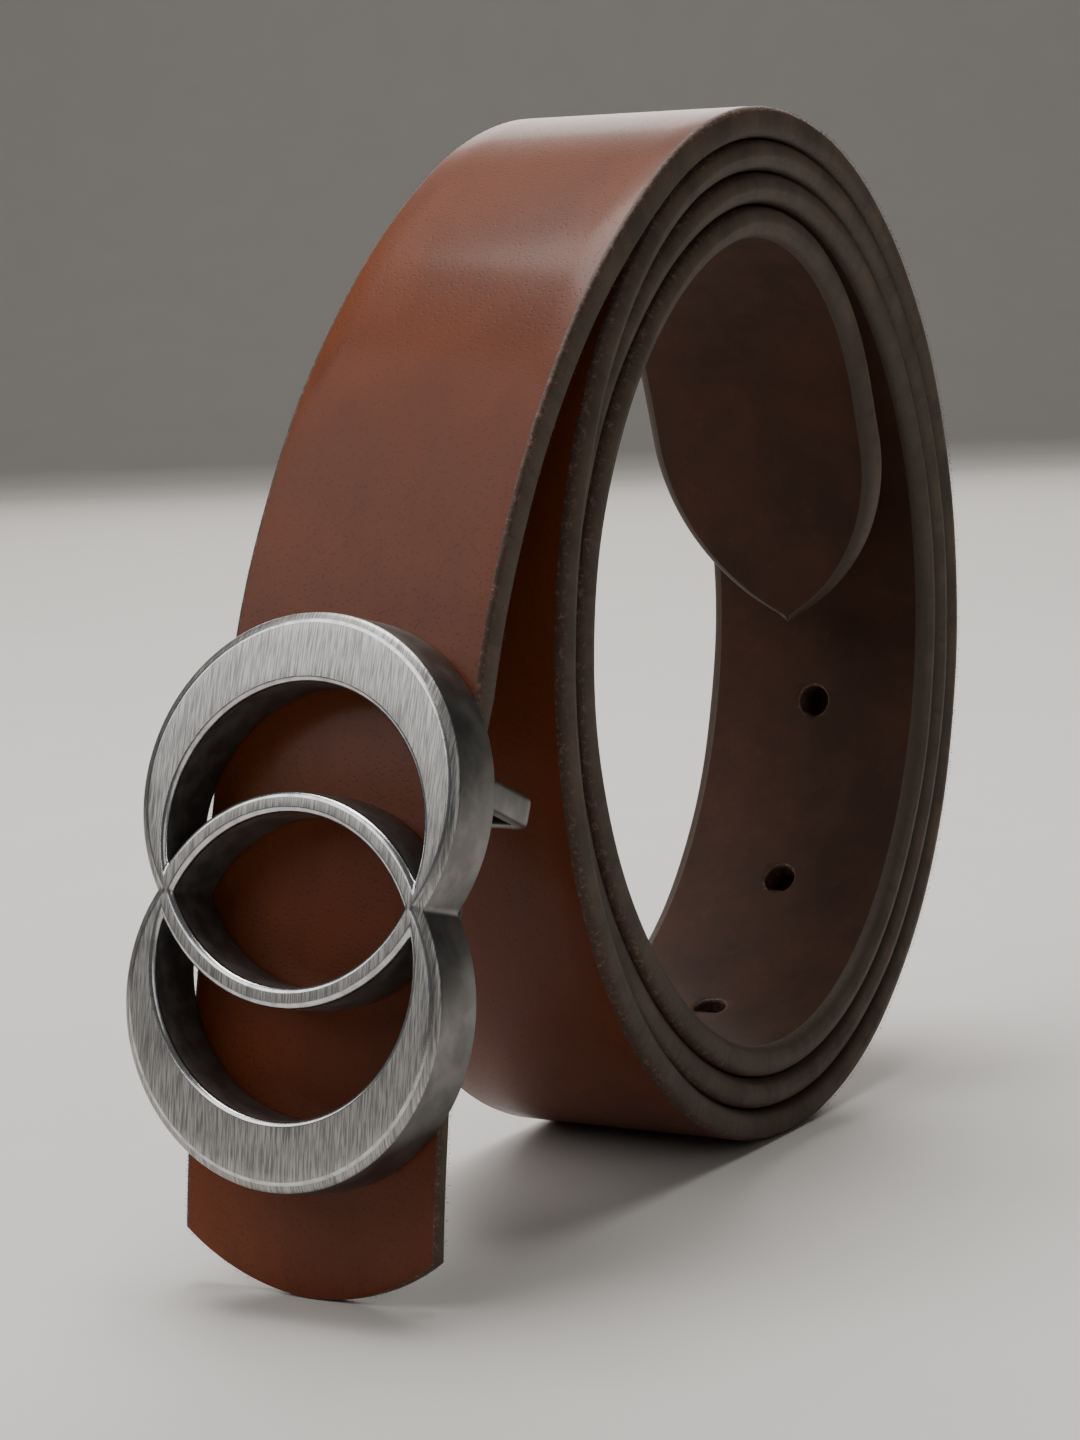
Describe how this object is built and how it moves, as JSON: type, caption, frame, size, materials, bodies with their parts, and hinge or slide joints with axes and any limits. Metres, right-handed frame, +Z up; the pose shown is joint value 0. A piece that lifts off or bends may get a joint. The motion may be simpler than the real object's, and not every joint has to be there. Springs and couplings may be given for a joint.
{
  "type": "leather belt",
  "caption": "Brown leather dress belt rolled into an upright coil, with a double-ring plate buckle and a hinged strap loop.",
  "frame": {"origin": "on the floor, in the middle of the flat foot of the coil", "axes": "+X along the belt's width, +Y from the buckle towards the back of the coil, +Z up"},
  "size_m": [0.037, 0.1362, 0.1174],
  "materials": {
    "leather": "glazed grain side, matte flesh side",
    "buckle_metal": "brushed gunmetal plating",
    "fastener_metal": "bare turned steel"
  },
  "bodies": {
    "belt": {"strap": "leather", "buckle_frame": "buckle_metal", "loop_pivots": "fastener_metal", "hook_stud": "fastener_metal", "strap_screws": "fastener_metal"},
    "loop": {"strap_loop": "buckle_metal"}
  },
  "joints": [
    {"name": "loop_swing", "type": "hinge", "parent": "belt", "child": "loop", "pos_m": [0, -0.07251, 0.05145], "axis": [1, 0, 0], "range_deg": [-11, 25]}
  ]
}
